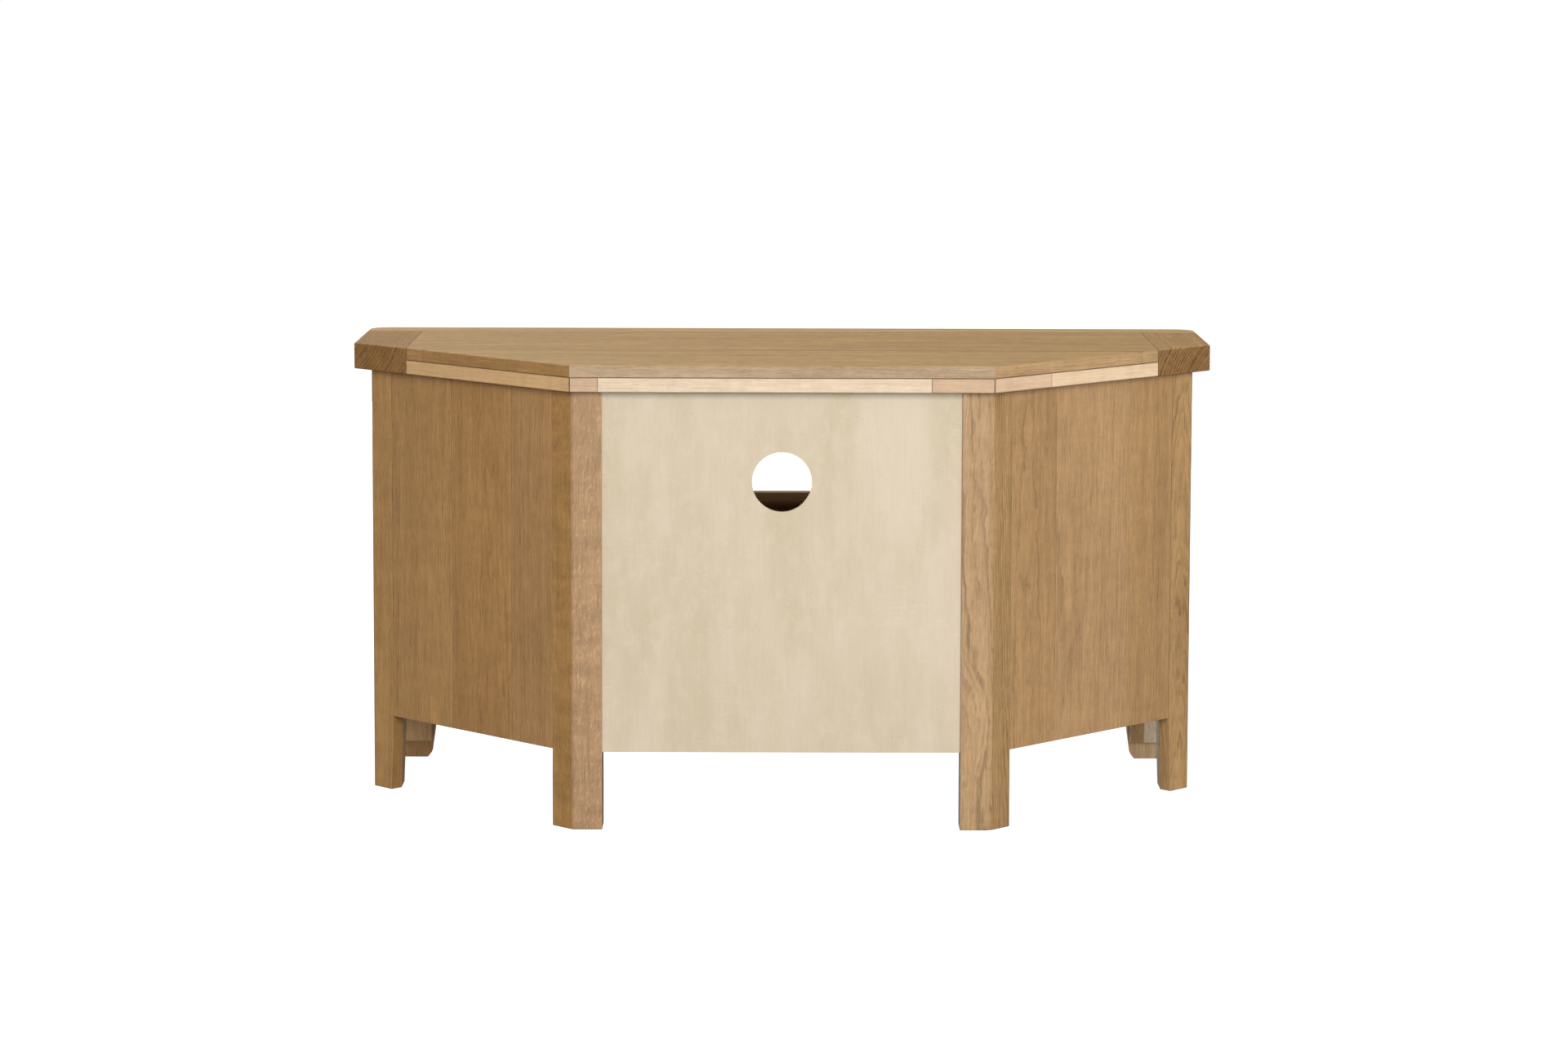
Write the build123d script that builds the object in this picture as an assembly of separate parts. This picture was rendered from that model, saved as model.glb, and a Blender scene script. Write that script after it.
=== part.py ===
from build123d import *
import os
from math import sqrt

# A five-sided corner media cabinet in oak, on six legs, with an open bay over a two-door cupboard.
# Row frame: millimetres, +Z up, X across the width, the doors face -Y and the back panel faces +Y.
# The origin is on the floor at the middle of the top's outline. "Right" is +X, as seen from the doors.

# ---- Driving dimensions ----
WIDTH = 1050.0
DEPTH = 495.0
HEIGHT = 550.0
CORNER_CUT = 278.0  # how far each rear corner is cut back at 45 degrees, along X and along Y

TOP_THICKNESS = 32.0
FIELD_THICKNESS = 15.0  # boards in the middle of the top, over the thickening strips
STRIP_WIDTH = 50.0
FRONT_BOARD_WIDTH = 57.0
END_BOARD_WIDTH = 70.0
FIELD_JOINT_Y = 60.5
FRONT_CORNER_RADIUS = 25.0
TOP_ROUND = 2.0
ARRIS = 0.5  # small bevel along glued joints, which shows as a fine line
STRIP_JOINT_RIGHT = 214.5  # end joints of the middle length of the rear strip
STRIP_JOINT_LEFT = -174.0
LEFT_STRIP_JOINT = 317.5

REAR_OVERHANG = 10.7
ANGLED_OVERHANG = 9.1
SIDE_OVERHANG = 22.0
FRONT_OVERHANG = 20.0

PANEL_THICKNESS = 16.0
PANEL_BOTTOM = 92.0
STAVE_JOINTS = {"right": (398.0, 322.0), "left": (421.0, 326.0)}

REAR_LEG_FACE = 34.5
REAR_LEG_ANGLED_FACE = 35.0
REAR_LEG_SIDE = 25.0
OUTER_LEG_FACE = 37.5
OUTER_LEG_TAPER = 5.0
OUTER_LEG_DEPTH = 28.6
FRONT_LEG_WIDTH = 67.0
FRONT_LEG_TAPER = 13.0
FRONT_THICKNESS = 20.0
FOOT_CLIP_X = 4.0
FOOT_CLIP_Z = 6.0
LEG_BEVEL = 1.5
REAR_CORNER_BEVEL = {"right": 1.5, "left": 4.0}  # the left one was planed wider

BACK_THICKNESS = 6.0
BACK_INSET = 3.0
BACK_GROOVE = 6.0
CABLE_HOLE_RADIUS = 35.0
CABLE_HOLE_HEIGHT = 412.0

SHELF_TOP = 343.0
SHELF_THICKNESS = 18.0
BOTTOM_TOP = 122.0
BOTTOM_THICKNESS = 15.0
RAIL_HEIGHT = 30.0
REAR_RAIL_HEIGHT = 40.0
REAR_RAIL_THICKNESS = 18.0
CLEAT = 15.0
ANGLED_CLEAT_LENGTH = 220.0
SIDE_CLEAT_LENGTH = 120.0
TOP_CLEAT = 17.0
FRONT_CLEAT_LENGTH = 760.0

TENON_LENGTH = 20.0
TENON_THICKNESS = 8.0
TENON_SHOULDER = 4.0

DOOR_THICKNESS = 18.0
DOOR_GAP = 1.5
DOOR_MEETING_GAP = 2.0
DOOR_FRAME_WIDTH = 45.0
DOOR_PANEL_THICKNESS = 8.0
DOOR_PANEL_GROOVE = 8.0
DOOR_PANEL_BEVEL = 2.5
KNOB_LENGTH = 18.0
KNOB_TENON_RADIUS = 4.0
KNOB_TENON_LENGTH = 12.0

HINGE_HEIGHT = 40.0
HINGE_INSET = 22.0  # from the door's end to the hinge
LEAF_THICKNESS = 1.2
LEAF_DEPTH = 16.0
LEAF_GAP = 0.1
KNUCKLE_RADIUS = 3.0
KNUCKLE_STANDOFF = 3.3  # from the door's face to the hinge's axis
KNUCKLE_GAP = 0.2
PIN_RADIUS = 1.5
PIN_CLEARANCE = 0.05

DOWEL_RADIUS = 4.0
DOWEL_LENGTH = 30.0
DOWEL_HEIGHTS = (130.0, 305.0, 480.0)

SCREW_SIZES = {  # head radius, shank radius, head height, length
    "cleat": (3.5, 1.75, 2.5, 28.0),
    "top": (3.5, 1.75, 2.5, 30.0),
    "hinge": (2.4, 1.1, 1.0, 12.0),
}

GLUE_BLOCK_LOW = 24.0
GLUE_BLOCK_THICKNESS = 18.0
GLUE_BLOCK_JOINT = 464.0
GLUE_BLOCK_INNER = 447.0

CATCH_WIDTH = 44.0
CATCH_DEPTH = 17.0
CATCH_HEIGHT = 22.0
STRIKE_THICKNESS = 1.9
STRIKE_WIDTH = 14.0
STRIKE_HEIGHT = 12.0

# ---- Places worked out from them ----
HALF = WIDTH / 2
BACK_EDGE = DEPTH / 2
FRONT_EDGE = -DEPTH / 2
UNDER_TOP = HEIGHT - TOP_THICKNESS
DIAGONAL = sqrt(0.5)
ANGLED_SUM = HALF - CORNER_CUT + BACK_EDGE  # x + y along the top's angled edge
CASE_SUM = ANGLED_SUM - ANGLED_OVERHANG / DIAGONAL  # x + y on the angled panel's outer face
CASE_REAR = BACK_EDGE - REAR_OVERHANG
CASE_SIDE = HALF - SIDE_OVERHANG
CASE_FRONT = FRONT_EDGE + FRONT_OVERHANG
FRAME_BACK = CASE_FRONT + FRONT_THICKNESS
CASE_CORNER = CASE_SUM - CASE_REAR  # x of the case's rear corner
REAR_LEG_INNER = CASE_CORNER - REAR_LEG_FACE
REAR_LEG_OUTER = CASE_CORNER + REAR_LEG_ANGLED_FACE * DIAGONAL
OUTER_LEG_INNER = CASE_SIDE - OUTER_LEG_FACE * DIAGONAL
OUTER_LEG_FRONT = CASE_SUM - CASE_SIDE - OUTER_LEG_DEPTH
INNER_SUM = CASE_SUM - PANEL_THICKNESS / DIAGONAL
INNER_SIDE = CASE_SIDE - PANEL_THICKNESS
BACK_OUTER = CASE_REAR - BACK_INSET
BACK_INNER = BACK_OUTER - BACK_THICKNESS
OPENING = CASE_SIDE - FRONT_LEG_WIDTH  # half width between the front legs
SHELF_LOW = SHELF_TOP - SHELF_THICKNESS
BOTTOM_LOW = BOTTOM_TOP - BOTTOM_THICKNESS
FRONT_BOARD_BACK = FRONT_EDGE + FRONT_BOARD_WIDTH
FIELD_HALF = HALF - END_BOARD_WIDTH
FIELD_LOW = HEIGHT - FIELD_THICKNESS
DOOR_LOW = BOTTOM_TOP + DOOR_GAP
DOOR_HIGH = SHELF_TOP - RAIL_HEIGHT - DOOR_GAP
DOOR_OUTER = OPENING - DOOR_GAP
DOOR_INNER = DOOR_MEETING_GAP / 2
DOOR_BACK = CASE_FRONT + DOOR_THICKNESS
HINGE_X = OPENING - DOOR_GAP / 2
HINGE_Y = CASE_FRONT - KNUCKLE_STANDOFF
REAR_LEG_DEEP = CASE_SUM - REAR_LEG_OUTER - REAR_LEG_SIDE * DIAGONAL

SIDES = {"right": 1, "left": -1}
pieces = {}


# ---- Shapes that several pieces share ----
def slab(points, low, high):
    """A flat board with the plan outline given, between two heights."""
    outline = Plane.XY.offset(low) * Polygon(*points, align=None)
    return extrude(outline, high - low, dir=(0, 0, 1))


def block(x, y, z):
    """A box between pairs of limits."""
    middle = Pos((x[0] + x[1]) / 2, (y[0] + y[1]) / 2, (z[0] + z[1]) / 2)
    return middle * Box(x[1] - x[0], y[1] - y[0], z[1] - z[0])


def rod(start, direction, radius, length):
    """A round rod from a point along a direction."""
    return Plane(origin=start, z_dir=direction) * Cylinder(
        radius, length, align=(Align.CENTER, Align.CENTER, Align.MIN)
    )


def screw_body(kind, start, direction):
    """A countersunk wood screw whose flat head lies at the start point, as the hole that it fills."""
    head_radius, shank_radius, head_height, length = SCREW_SIZES[kind]
    seat = (Align.CENTER, Align.CENTER, Align.MIN)
    head = Cone(head_radius, shank_radius, head_height, align=seat)
    shank = Cylinder(shank_radius, length, align=seat)
    return Plane(origin=start, z_dir=direction) * (head + shank)


def screw(kind, start, direction):
    """The same screw with its cross recess."""
    head_radius, _, head_height, _ = SCREW_SIZES[kind]
    slot = head_radius * 0.25
    recess = Box(head_radius, slot, head_height) + Box(slot, head_radius, head_height)
    return screw_body(kind, start, direction) - Plane(origin=start, z_dir=direction) * recess


def mirrored_place(place):
    """A screw's kind, start and direction on the left, from those on the right."""
    kind, start, direction = place
    return (kind, (-start[0], start[1], start[2]), (-direction[0], direction[1], direction[2]))


def group(shapes):
    """Like pieces kept together in one file as separate solids."""
    return Compound(children=[shape.solid() for shape in shapes])


def side_of(shape, side):
    """The shape as built on the right, or its mirror image on the left."""
    return shape if side == "right" else mirror(shape, about=Plane.YZ)


def bevel_upright(shape, size):
    """Break the upright corners of a leg or board."""
    return chamfer(shape.edges().filter_by(Axis.Z), size)


# ---- Top: boards across the width between two end boards, with a full-width front board ----
def top_blank():
    """The whole top as one outline, from which its boards are cut."""
    outline = [
        (-HALF, FRONT_EDGE),
        (HALF, FRONT_EDGE),
        (HALF, BACK_EDGE - CORNER_CUT),
        (HALF - CORNER_CUT, BACK_EDGE),
        (CORNER_CUT - HALF, BACK_EDGE),
        (-HALF, BACK_EDGE - CORNER_CUT),
    ]
    blank = slab(outline, UNDER_TOP, HEIGHT)
    front_corners = blank.edges().filter_by(Axis.Z).group_by(Axis.Y)[0]
    blank = fillet(front_corners, FRONT_CORNER_RADIUS)
    blank = fillet(blank.faces().sort_by(Axis.Z)[-1].edges(), TOP_ROUND)
    return chamfer(blank.faces().sort_by(Axis.Z)[0].edges(), ARRIS * 2)


def strip_outline(inner, outer):
    """Plan of a length of the angled strip between two X positions, mitred at the rear corner."""
    corner = HALF - CORNER_CUT
    back_run = STRIP_WIDTH * (sqrt(2) - 1)  # how far the mitre moves along the rear edge
    if inner <= corner:
        near = [(corner, BACK_EDGE), (corner - back_run, BACK_EDGE - STRIP_WIDTH)]
    else:
        near = [(inner, ANGLED_SUM - inner), (inner, ANGLED_SUM - inner - STRIP_WIDTH / DIAGONAL)]
    far = [(outer, ANGLED_SUM - outer - STRIP_WIDTH / DIAGONAL), (outer, ANGLED_SUM - outer)]
    return near + far


def ease(shape, chosen, size=ARRIS):
    """Break the edges whose middle point meets the test."""
    return chamfer([edge for edge in shape.edges() if chosen(edge.center())], size)


def on_outline(point):
    """True on the top's rear edge and angled edges."""
    return point.Y > BACK_EDGE - 0.01 or abs(point.X) + point.Y > ANGLED_SUM - 0.01


def ease_strip(strip):
    """Break a strip's outer edges against the boards above it and the lengths beside it."""
    return ease(strip, lambda point: on_outline(point) and point.Z > UNDER_TOP + 2 * ARRIS + 1)


def make_top():
    blank = top_blank()
    over = HALF + 10
    full = (UNDER_TOP, HEIGHT)
    field = (FIELD_LOW, HEIGHT)
    behind = (FRONT_BOARD_BACK, BACK_EDGE + 10)
    pieces["top_front_board"] = blank & block((-over, over), (FRONT_EDGE - 10, FRONT_BOARD_BACK), full)
    pieces["top_right_end_board"] = blank & block((FIELD_HALF, over), behind, full)
    pieces["top_left_end_board"] = blank & block((-over, -FIELD_HALF), behind, full)
    across = (-FIELD_HALF, FIELD_HALF)
    pieces["top_middle_board"] = blank & block(across, (FRONT_BOARD_BACK, FIELD_JOINT_Y), field)
    pieces["top_rear_board"] = blank & block(across, (FIELD_JOINT_Y, BACK_EDGE + 10), field)

    strip_height = (UNDER_TOP, FIELD_LOW)
    corner = HALF - CORNER_CUT
    inner = corner - STRIP_WIDTH * (sqrt(2) - 1)
    rear_plan = [
        (-corner, BACK_EDGE),
        (corner, BACK_EDGE),
        (inner, BACK_EDGE - STRIP_WIDTH),
        (-inner, BACK_EDGE - STRIP_WIDTH),
    ]
    rear = blank & slab(rear_plan, *strip_height)
    near_back = (BACK_EDGE - STRIP_WIDTH, BACK_EDGE)
    right_end = rear & block((STRIP_JOINT_RIGHT, HALF), near_back, strip_height)
    left_end = rear & block((-HALF, STRIP_JOINT_LEFT), near_back, strip_height)
    middle = rear & block((STRIP_JOINT_LEFT, STRIP_JOINT_RIGHT), near_back, strip_height)
    pieces["rear_strip_middle"] = ease_strip(middle)
    pieces["rear_strip_ends"] = group([ease_strip(right_end), ease_strip(left_end)])
    pieces["right_strip"] = ease_strip(blank & slab(strip_outline(corner, FIELD_HALF), *strip_height))
    near_strip = slab(strip_outline(corner, LEFT_STRIP_JOINT), *strip_height)
    far_strip = slab(strip_outline(LEFT_STRIP_JOINT, FIELD_HALF), *strip_height)
    pieces["left_strip_rear"] = ease_strip(blank & side_of(near_strip, "left"))
    pieces["left_strip_front"] = ease_strip(blank & side_of(far_strip, "left"))
    for name in ("top_middle_board", "top_rear_board"):
        pieces[name] = ease(pieces[name], lambda point: on_outline(point) and abs(point.Z - FIELD_LOW) < 0.01)
    for name in ("top_right_end_board", "top_left_end_board"):
        pieces[name] = ease(
            pieces[name],
            lambda point: on_outline(point) and abs(abs(point.X) - FIELD_HALF) < 0.01
            and UNDER_TOP + 3 < point.Z < HEIGHT - 3,
        )


# ---- Legs: five-sided posts at the rear and sides, flat tapered legs at the front ----
def angled_point(x, inward=0.0):
    """A point on the angled face of the case, or inside it by a distance square to that face."""
    return (x - inward * DIAGONAL, CASE_SUM - x - inward * DIAGONAL)


def make_rear_leg(corner_bevel):
    plan = [
        (CASE_CORNER, CASE_REAR),
        angled_point(REAR_LEG_OUTER),
        angled_point(REAR_LEG_OUTER, REAR_LEG_SIDE),
        (REAR_LEG_INNER, REAR_LEG_DEEP),
        (REAR_LEG_INNER, CASE_REAR),
    ]
    leg = slab(plan, 0, UNDER_TOP)
    upright = leg.edges().filter_by(Axis.Z)
    corner = upright.sort_by_distance((CASE_CORNER, CASE_REAR, UNDER_TOP / 2))[0]
    leg = chamfer([corner], corner_bevel)
    groove_x = (REAR_LEG_INNER - 1, REAR_LEG_INNER + BACK_GROOVE)
    return leg - block(groove_x, (BACK_INNER, BACK_OUTER), (PANEL_BOTTOM, UNDER_TOP))


def outer_leg_plan(taper):
    """Plan of the side leg, with its inner faces moved outward by the taper."""
    inner = OUTER_LEG_INNER + taper * DIAGONAL
    core = angled_point(inner, PANEL_THICKNESS)
    return [
        (CASE_SIDE, CASE_SUM - CASE_SIDE),
        angled_point(inner),
        core,
        (core[0], OUTER_LEG_FRONT),
        (CASE_SIDE, OUTER_LEG_FRONT),
    ]


def make_outer_leg():
    upper = slab(outer_leg_plan(0), PANEL_BOTTOM, UNDER_TOP)
    foot_plan = Polygon(*outer_leg_plan(OUTER_LEG_TAPER), align=None)
    knee_plan = Plane.XY.offset(PANEL_BOTTOM) * Polygon(*outer_leg_plan(0), align=None)
    lower = loft([foot_plan.face(), knee_plan.face()], ruled=True)
    leg = upper + lower
    outer_corner = leg.edges().filter_by(Axis.Z).group_by(Axis.X)[-1]
    return chamfer(outer_corner, LEG_BEVEL)


def make_front_leg():
    foot = OPENING + FRONT_LEG_TAPER
    clip_top = foot - FRONT_LEG_TAPER * FOOT_CLIP_Z / PANEL_BOTTOM
    face = [
        (CASE_SIDE, 0),
        (CASE_SIDE, UNDER_TOP),
        (OPENING, UNDER_TOP),
        (OPENING, PANEL_BOTTOM),
        (clip_top, FOOT_CLIP_Z),
        (foot + FOOT_CLIP_X, 0),
    ]
    front = Plane.XZ.offset(-CASE_FRONT) * Polygon(*face, align=None)
    leg = extrude(front, FRONT_THICKNESS, dir=(0, 1, 0))
    return chamfer(leg.edges().filter_by(Axis.Z).group_by(Axis.X)[-1], LEG_BEVEL)


def make_glue_blocks():
    """Blocks glued behind the front legs; the left one is built up from two offcuts."""
    back = (FRAME_BACK, FRAME_BACK + GLUE_BLOCK_THICKNESS)
    height = (GLUE_BLOCK_LOW, PANEL_BOTTOM)
    inner = block((GLUE_BLOCK_INNER, GLUE_BLOCK_JOINT), back, height)
    outer = block((GLUE_BLOCK_JOINT, CASE_SIDE - 2), back, height)
    whole = block((GLUE_BLOCK_INNER, CASE_SIDE - 2), back, height)
    pieces["front_glue_blocks"] = Compound(children=[whole.solid(), side_of(inner, "left").solid()])
    pieces["pale_glue_block"] = side_of(outer, "left")


# ---- Case: staved panels, back, shelf and bottom ----
def make_stave(near, far, outer_edge_bevel=ARRIS):
    """One upright board of the angled panel, between two X positions on its outer face."""
    plan = [
        angled_point(near),
        angled_point(far),
        angled_point(far, PANEL_THICKNESS),
        angled_point(near, PANEL_THICKNESS),
    ]
    return bevel_upright(slab(plan, PANEL_BOTTOM, UNDER_TOP), outer_edge_bevel)


def make_side_panel():
    panel = block((INNER_SIDE, CASE_SIDE), (FRAME_BACK, OUTER_LEG_FRONT), (PANEL_BOTTOM, UNDER_TOP))
    return bevel_upright(panel, ARRIS)


def make_back_panel():
    half = REAR_LEG_INNER + BACK_GROOVE
    panel = block((-half, half), (BACK_INNER, BACK_OUTER), (PANEL_BOTTOM, UNDER_TOP))
    start = (0, BACK_INNER - 1, CABLE_HOLE_HEIGHT)
    return panel - rod(start, (0, 1, 0), CABLE_HOLE_RADIUS, BACK_THICKNESS + 2)


def inside_board(low, high, legs):
    """A board that fills the case from the front frame to the back, notched round the legs."""
    corner = INNER_SUM - BACK_INNER
    plan = [
        (-INNER_SIDE, FRAME_BACK),
        (INNER_SIDE, FRAME_BACK),
        (INNER_SIDE, INNER_SUM - INNER_SIDE),
        (corner, BACK_INNER),
        (-corner, BACK_INNER),
        (-INNER_SIDE, INNER_SUM - INNER_SIDE),
    ]
    board = slab(plan, low, high)
    for leg in legs:
        board = board - leg
    return board


# ---- Front frame: three rails tenoned into the front legs ----
def make_rail(low):
    high = low + RAIL_HEIGHT
    rail = block((-OPENING, OPENING), (CASE_FRONT, FRAME_BACK), (low, high))
    rail = chamfer(rail.edges().filter_by(Axis.X), ARRIS)
    middle = (CASE_FRONT + FRAME_BACK) / 2
    tongue_y = (middle - TENON_THICKNESS / 2, middle + TENON_THICKNESS / 2)
    reach = OPENING + TENON_LENGTH
    return rail + block((-reach, reach), tongue_y, (low + TENON_SHOULDER, high - TENON_SHOULDER))


# ---- Cleats that carry the shelf, the bottom and the top ----
def angled_cleat(high, size):
    """A square cleat on the inner face of the angled panel, ending at the given height."""
    middle = (REAR_LEG_OUTER + OUTER_LEG_INNER) / 2
    reach = ANGLED_CLEAT_LENGTH / 2 * DIAGONAL
    plan = [
        angled_point(middle - reach, PANEL_THICKNESS),
        angled_point(middle + reach, PANEL_THICKNESS),
        angled_point(middle + reach, PANEL_THICKNESS + size),
        angled_point(middle - reach, PANEL_THICKNESS + size),
    ]
    return slab(plan, high - size, high)


def side_cleat(high):
    """A square cleat on the inner face of the short side panel."""
    y_middle = (FRAME_BACK + OUTER_LEG_FRONT) / 2
    y_limits = (y_middle - SIDE_CLEAT_LENGTH / 2, y_middle + SIDE_CLEAT_LENGTH / 2)
    return block((INNER_SIDE - CLEAT, INNER_SIDE), y_limits, (high - CLEAT, high))


def cleat_screw_places():
    """The screws through the right shelf and bottom cleats into the panels."""
    places = []
    middle = (REAR_LEG_OUTER + OUTER_LEG_INNER) / 2
    y_middle = (FRAME_BACK + OUTER_LEG_FRONT) / 2
    for high in (SHELF_LOW, BOTTOM_LOW):
        for shift in (-1, 1):
            x, y = angled_point(middle + shift * ANGLED_CLEAT_LENGTH * 0.3, PANEL_THICKNESS + CLEAT)
            places.append(("cleat", (x, y, high - CLEAT / 2), (1, 1, 0)))
            y = y_middle + shift * SIDE_CLEAT_LENGTH * 0.3
            places.append(("cleat", (INNER_SIDE - CLEAT, y, high - CLEAT / 2), (1, 0, 0)))
    return places


def top_screw_places():
    """The screws that come up through the top's cleats on the right."""
    low = UNDER_TOP - TOP_CLEAT
    middle = (REAR_LEG_OUTER + OUTER_LEG_INNER) / 2
    places = [("top", (FRONT_CLEAT_LENGTH * 0.4, FRAME_BACK + TOP_CLEAT / 2, low), (0, 0, 1))]
    for shift in (-1, 1):
        x, y = angled_point(middle + shift * ANGLED_CLEAT_LENGTH * 0.3, PANEL_THICKNESS + TOP_CLEAT / 2)
        places.append(("top", (x, y, low), (0, 0, 1)))
    return places


def make_support_cleats():
    """Four cleats on each side, two under the shelf and two under the bottom panel."""
    cleats = []
    for side in SIDES:
        for high in (SHELF_LOW, BOTTOM_LOW):
            cleats.append(side_of(angled_cleat(high, CLEAT), side))
            cleats.append(side_of(side_cleat(high), side))
    return cleats


def make_top_cleats():
    """A long cleat behind the front rail and one on each angled panel."""
    front_reach = FRONT_CLEAT_LENGTH / 2
    front_y = (FRAME_BACK, FRAME_BACK + TOP_CLEAT)
    front = block((-front_reach, front_reach), front_y, (UNDER_TOP - TOP_CLEAT, UNDER_TOP))
    return [front] + [side_of(angled_cleat(UNDER_TOP, TOP_CLEAT), side) for side in SIDES]


# ---- Dowels between the legs and the panels ----
def make_dowels():
    dowels = []
    for sign in SIDES.values():
        for z in DOWEL_HEIGHTS:
            for x in (REAR_LEG_OUTER, OUTER_LEG_INNER):
                start = angled_point(x - DOWEL_LENGTH / 2 * DIAGONAL, PANEL_THICKNESS / 2)
                dowels.append(rod((sign * start[0], start[1], z), (sign, -1, 0), DOWEL_RADIUS, DOWEL_LENGTH))
            x = sign * (INNER_SIDE + PANEL_THICKNESS / 2)
            start = (x, OUTER_LEG_FRONT - DOWEL_LENGTH / 2, z)
            dowels.append(rod(start, (0, 1, 0), DOWEL_RADIUS, DOWEL_LENGTH))
    return dowels


# ---- Doors: framed panels on butt hinges ----
def door_member(x, z):
    """A stile or rail of the door's frame, with its long edges broken."""
    member = block(x, (CASE_FRONT, DOOR_BACK), z)
    long_axis = Axis.X if x[1] - x[0] > z[1] - z[0] else Axis.Z
    return chamfer(member.edges().filter_by(long_axis), ARRIS)


def make_door():
    """The right door's members, built closed."""
    middle = (CASE_FRONT + DOOR_BACK) / 2
    tongue_y = (middle - TENON_THICKNESS / 2, middle + TENON_THICKNESS / 2)
    full = (DOOR_LOW, DOOR_HIGH)
    stile_inner = DOOR_OUTER - DOOR_FRAME_WIDTH
    stile_meeting = DOOR_INNER + DOOR_FRAME_WIDTH
    outer = door_member((stile_inner, DOOR_OUTER), full)
    meeting = door_member((DOOR_INNER, stile_meeting), full)
    rails = {}
    for name, low in (("bottom", DOOR_LOW), ("top", DOOR_HIGH - DOOR_FRAME_WIDTH)):
        high = low + DOOR_FRAME_WIDTH
        tongue_x = (stile_meeting - TENON_LENGTH, stile_inner + TENON_LENGTH)
        tongue = block(tongue_x, tongue_y, (low + DOOR_PANEL_GROOVE, high - DOOR_PANEL_GROOVE))
        rails[name] = door_member((stile_meeting, stile_inner), (low, high)) + tongue
        outer = outer - tongue
        meeting = meeting - tongue
    panel_y = (middle - DOOR_PANEL_THICKNESS / 2, middle + DOOR_PANEL_THICKNESS / 2)
    panel_x = (stile_meeting - DOOR_PANEL_GROOVE, stile_inner + DOOR_PANEL_GROOVE)
    panel_low = DOOR_LOW + DOOR_FRAME_WIDTH - DOOR_PANEL_GROOVE
    panel_high = DOOR_HIGH - DOOR_FRAME_WIDTH + DOOR_PANEL_GROOVE
    groove = block(panel_x, panel_y, (panel_low, panel_high))
    panel = chamfer(groove.faces().sort_by(Axis.Y)[0].edges(), DOOR_PANEL_BEVEL)
    door = {"outer_stile": outer - groove, "meeting_stile": meeting - groove, "panel": panel}
    for name, rail in rails.items():
        door[name + "_rail"] = rail - groove
    return door


def make_knob():
    """A turned wooden knob, with a round tenon that is glued into the meeting stile."""
    profile = Polyline(
        (0, -KNOB_TENON_LENGTH),
        (KNOB_TENON_RADIUS, -KNOB_TENON_LENGTH),
        (KNOB_TENON_RADIUS, 0),
        (8, 0),
        (8, 2),
        (5.5, 6),
        (12, 11),
        (12.5, 14),
        (8, KNOB_LENGTH),
        (0, KNOB_LENGTH),
        close=True,
    )
    turned = revolve(make_face(profile), Axis.Y)
    waist = turned.edges().filter_by(GeomType.CIRCLE).filter_by_position(Axis.Y, 5, 14.5)
    turned = fillet(waist, 1.8)
    place = Pos(DOOR_INNER + DOOR_FRAME_WIDTH / 2, CASE_FRONT, (DOOR_LOW + DOOR_HIGH) / 2)
    return place * Rot(180, 0, 0) * turned


def hinge_heights():
    """Low end of each hinge."""
    return (DOOR_LOW + HINGE_INSET, DOOR_HIGH - HINGE_INSET - HINGE_HEIGHT)


def hinge_leaf(low, on_frame):
    """A leaf with its knuckles: the outer two on the frame's leaf, the middle one on the door's."""
    third = HINGE_HEIGHT / 3
    own = [(0, third), (2 * third, HINGE_HEIGHT)] if on_frame else [(third, 2 * third)]
    other = [(third, 2 * third)] if on_frame else [(0, third), (2 * third, HINGE_HEIGHT)]
    face = HINGE_X + LEAF_GAP / 2 if on_frame else HINGE_X - LEAF_GAP / 2 - LEAF_THICKNESS
    leaf = block(
        (face, face + LEAF_THICKNESS),
        (HINGE_Y, CASE_FRONT + LEAF_DEPTH),
        (low, low + HINGE_HEIGHT),
    )
    room = KNUCKLE_RADIUS + KNUCKLE_GAP
    for start, end in other:
        clear = (low + start - KNUCKLE_GAP, low + end + KNUCKLE_GAP)
        leaf = leaf - block((face - 1, face + LEAF_THICKNESS + 1), (HINGE_Y - room, HINGE_Y + room), clear)
    for start, end in own:
        leaf = leaf + rod((HINGE_X, HINGE_Y, low + start), (0, 0, 1), KNUCKLE_RADIUS, end - start)
    bore = PIN_RADIUS if on_frame else PIN_RADIUS + PIN_CLEARANCE
    return leaf - rod((HINGE_X, HINGE_Y, low - 1), (0, 0, 1), bore, HINGE_HEIGHT + 2)


def hinge_screw_places(on_frame):
    """Two countersunk screws through each leaf on the right door's side."""
    face = HINGE_X + LEAF_GAP / 2 if on_frame else HINGE_X - LEAF_GAP / 2
    direction = (1, 0, 0) if on_frame else (-1, 0, 0)
    y = CASE_FRONT + LEAF_DEPTH / 2
    return [
        ("hinge", (face, y, low + HINGE_HEIGHT * share), direction)
        for low in hinge_heights()
        for share in (0.2, 0.8)
    ]


def cut_all(shape, tools):
    """Take each fastener, dowel or tenon out of a piece."""
    for tool in tools:
        shape = shape - tool
    return shape


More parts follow.
